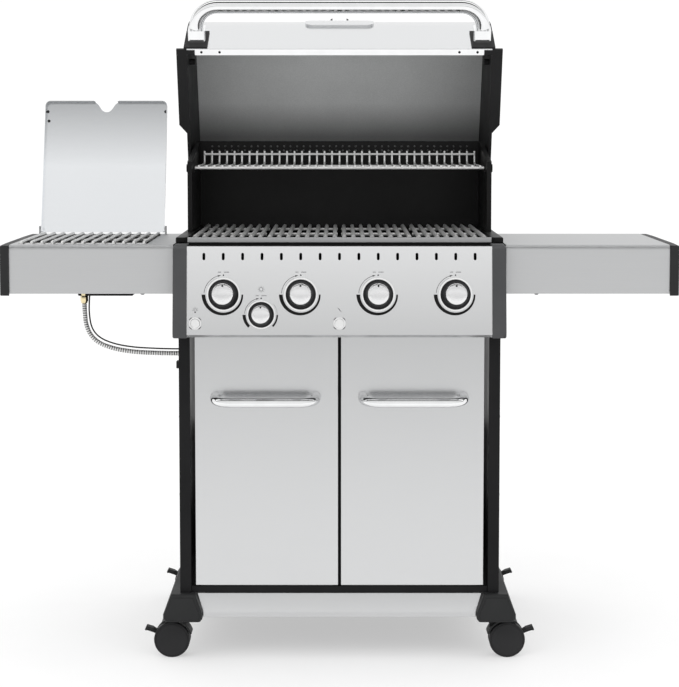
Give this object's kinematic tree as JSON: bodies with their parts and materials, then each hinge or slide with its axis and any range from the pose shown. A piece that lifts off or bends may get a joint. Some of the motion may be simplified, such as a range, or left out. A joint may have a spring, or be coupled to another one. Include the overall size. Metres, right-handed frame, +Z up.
{
  "type": "gas barbecue grill",
  "caption": "Cabinet gas barbecue on casters with a lifting lid, cooking grates, control knobs, a side shelf and a side burner under its own lid.",
  "frame": {"origin": "on the floor under the middle of the whole object at rest", "axes": "+X to the cook's right, +Y to the back, +Z up"},
  "size_m": [1.45, 0.8003, 1.4394],
  "materials": {
    "stainless": "brushed stainless sheet",
    "stainless_rod": "polished round bar",
    "chrome": "polished",
    "black_steel": "satin black powder coat",
    "black_enamel": "black enamel",
    "cast_black": "black painted casting",
    "charcoal_plastic": "textured moulding",
    "panel_cap_plastic": "textured moulding",
    "knob": "dark skirt with a metallised cap",
    "button": "silvered push button",
    "wheel": "moulded wheel",
    "galvanised": "plain sheet and pipe",
    "brass": "machined",
    "hose_metal": "corrugated flexible metal",
    "wire_rubber": "insulated wire",
    "badge": "satin plate, blank",
    "dial": "polished case"
  },
  "bodies": {
    "cart": {"base_shelf": "black_steel", "base_fascia": "stainless", "cabinet_back": "black_steel", "door_frame": "black_steel", "foot_rail_left": "charcoal_plastic", "foot_rail_right": "charcoal_plastic", "cabinet_side_left": "black_steel", "cabinet_side_right": "black_steel", "side_shelf_left": "stainless", "side_shelf_right": "stainless", "shelf_end_caps": "charcoal_plastic", "control_panel": "stainless", "panel_end_caps": "panel_cap_plastic", "control_bezels": "chrome", "gas_manifold": "galvanised", "cookbox": "black_enamel", "cookbox_trim": "stainless", "cooking_grates": "stainless_rod", "heat_tents": "stainless", "burners": "stainless", "hood_surround": "black_enamel", "warming_rack": "stainless_rod", "side_burner_pan": "black_enamel", "side_burner_head": "black_enamel", "side_burner_grate": "stainless_rod", "hose_fitting": "brass", "hose_grommet": "charcoal_plastic", "burner_hose": "hose_metal", "igniter_wire": "wire_rubber"},
    "lid": {"lid_skin": "stainless", "lid_end_caps": "cast_black", "lid_handle": "chrome", "handle_ferrules": "chrome", "badge_plate": "badge", "thermometer": "dial"},
    "side_lid": {"side_burner_lid": "stainless"},
    "left_door": {"door_left": "stainless", "door_handle_left": "chrome"},
    "right_door": {"door_right": "stainless", "door_handle_right": "chrome"},
    "tray": {"grease_tray": "galvanised"},
    "lit_button": {"light_button": "button"},
    "spark_button": {"ignition_button": "button"},
    "knob_1": {"burner_knob_1": "knob"},
    "knob_2": {"burner_knob_2": "knob"},
    "knob_3": {"burner_knob_3": "knob"},
    "knob_4": {"burner_knob_4": "knob"},
    "side_knob": {"side_burner_knob": "knob"},
    "caster_front_right_body": {"caster_body_front_right": "charcoal_plastic"},
    "caster_front_right_wheels": {"caster_wheels_front_right": "wheel"},
    "caster_front_right_lever": {"caster_lever_front_right": "charcoal_plastic"},
    "caster_rear_right_body": {"caster_body_rear_right": "charcoal_plastic"},
    "caster_rear_right_wheels": {"caster_wheels_rear_right": "wheel"},
    "caster_rear_right_lever": {"caster_lever_rear_right": "charcoal_plastic"},
    "caster_front_left_body": {"caster_body_front_left": "charcoal_plastic"},
    "caster_front_left_wheels": {"caster_wheels_front_left": "wheel"},
    "caster_front_left_lever": {"caster_lever_front_left": "charcoal_plastic"},
    "caster_rear_left_body": {"caster_body_rear_left": "charcoal_plastic"},
    "caster_rear_left_wheels": {"caster_wheels_rear_left": "wheel"},
    "caster_rear_left_lever": {"caster_lever_rear_left": "charcoal_plastic"}
  },
  "joints": [
    {"name": "lid_hinge", "type": "hinge", "parent": "cart", "child": "lid", "pos_m": [0, 0.15114, 0.938], "axis": [1, 0, 0], "range_deg": [0, 68]},
    {"name": "side_lid_hinge", "type": "hinge", "parent": "cart", "child": "side_lid", "pos_m": [-0.55, 0.06814, 0.916], "axis": [1, 0, 0], "range_deg": [0, 106.7]},
    {"name": "left_door_hinge", "type": "hinge", "parent": "cart", "child": "left_door", "pos_m": [-0.303, -0.28186, 0.44], "axis": [0, 0, 1], "range_deg": [-110, 0]},
    {"name": "right_door_hinge", "type": "hinge", "parent": "cart", "child": "right_door", "pos_m": [0.303, -0.28186, 0.44], "axis": [0, 0, 1], "range_deg": [0, 110]},
    {"name": "tray_slide", "type": "slide", "parent": "cart", "child": "tray", "axis": [0, 1, 0], "range_m": [0, 0.36]},
    {"name": "burner_knob_1_turn", "type": "hinge", "parent": "cart", "child": "knob_1", "pos_m": [-0.243, -0.3609, 0.803], "axis": [0, -0.9916, 0.1293], "range_deg": [0, 270]},
    {"name": "burner_knob_2_turn", "type": "hinge", "parent": "cart", "child": "knob_2", "pos_m": [-0.081, -0.3609, 0.803], "axis": [0, -0.9916, 0.1293], "range_deg": [0, 270]},
    {"name": "burner_knob_3_turn", "type": "hinge", "parent": "cart", "child": "knob_3", "pos_m": [0.081, -0.3609, 0.803], "axis": [0, -0.9916, 0.1293], "range_deg": [0, 270]},
    {"name": "burner_knob_4_turn", "type": "hinge", "parent": "cart", "child": "knob_4", "pos_m": [0.243, -0.3609, 0.803], "axis": [0, -0.9916, 0.1293], "range_deg": [0, 270]},
    {"name": "side_burner_knob_turn", "type": "hinge", "parent": "cart", "child": "side_knob", "pos_m": [-0.164, -0.36638, 0.761], "axis": [0, -0.9916, 0.1293], "range_deg": [0, 270]},
    {"name": "light_button_push", "type": "slide", "parent": "cart", "child": "lit_button", "axis": [0, 0.9916, -0.1293], "range_m": [0, 0.003], "stiffness_N_per_m": 400, "springref_m": -0.002},
    {"name": "ignition_button_push", "type": "slide", "parent": "cart", "child": "spark_button", "axis": [0, 0.9916, -0.1293], "range_m": [0, 0.003], "stiffness_N_per_m": 400, "springref_m": -0.002},
    {"name": "caster_front_right_swivel", "type": "hinge", "parent": "cart", "child": "caster_front_right_body", "pos_m": [0.338, -0.25086, 0.09], "axis": [0, 0, 1], "continuous": true},
    {"name": "caster_front_right_roll", "type": "hinge", "parent": "caster_front_right_body", "child": "caster_front_right_wheels", "pos_m": [0.365, -0.25086, 0.039], "axis": [0, 1, 0], "continuous": true},
    {"name": "caster_front_right_brake", "type": "hinge", "parent": "caster_front_right_body", "child": "caster_front_right_lever", "pos_m": [0.392, -0.25086, 0.05], "axis": [0, 1, 0], "range_deg": [0, 18]},
    {"name": "caster_rear_right_swivel", "type": "hinge", "parent": "cart", "child": "caster_rear_right_body", "pos_m": [0.338, 0.24714, 0.09], "axis": [0, 0, 1], "continuous": true},
    {"name": "caster_rear_right_roll", "type": "hinge", "parent": "caster_rear_right_body", "child": "caster_rear_right_wheels", "pos_m": [0.365, 0.24714, 0.039], "axis": [0, 1, 0], "continuous": true},
    {"name": "caster_rear_right_brake", "type": "hinge", "parent": "caster_rear_right_body", "child": "caster_rear_right_lever", "pos_m": [0.392, 0.24714, 0.05], "axis": [0, 1, 0], "range_deg": [0, 18]},
    {"name": "caster_front_left_swivel", "type": "hinge", "parent": "cart", "child": "caster_front_left_body", "pos_m": [-0.338, -0.25086, 0.09], "axis": [0, 0, 1], "continuous": true},
    {"name": "caster_front_left_roll", "type": "hinge", "parent": "caster_front_left_body", "child": "caster_front_left_wheels", "pos_m": [-0.365, -0.25086, 0.039], "axis": [0, 1, 0], "continuous": true},
    {"name": "caster_front_left_brake", "type": "hinge", "parent": "caster_front_left_body", "child": "caster_front_left_lever", "pos_m": [-0.392, -0.25086, 0.05], "axis": [0, -1, 0], "range_deg": [0, 18]},
    {"name": "caster_rear_left_swivel", "type": "hinge", "parent": "cart", "child": "caster_rear_left_body", "pos_m": [-0.338, 0.24714, 0.09], "axis": [0, 0, 1], "continuous": true},
    {"name": "caster_rear_left_roll", "type": "hinge", "parent": "caster_rear_left_body", "child": "caster_rear_left_wheels", "pos_m": [-0.365, 0.24714, 0.039], "axis": [0, 1, 0], "continuous": true},
    {"name": "caster_rear_left_brake", "type": "hinge", "parent": "caster_rear_left_body", "child": "caster_rear_left_lever", "pos_m": [-0.392, 0.24714, 0.05], "axis": [0, -1, 0], "range_deg": [0, 18]}
  ]
}
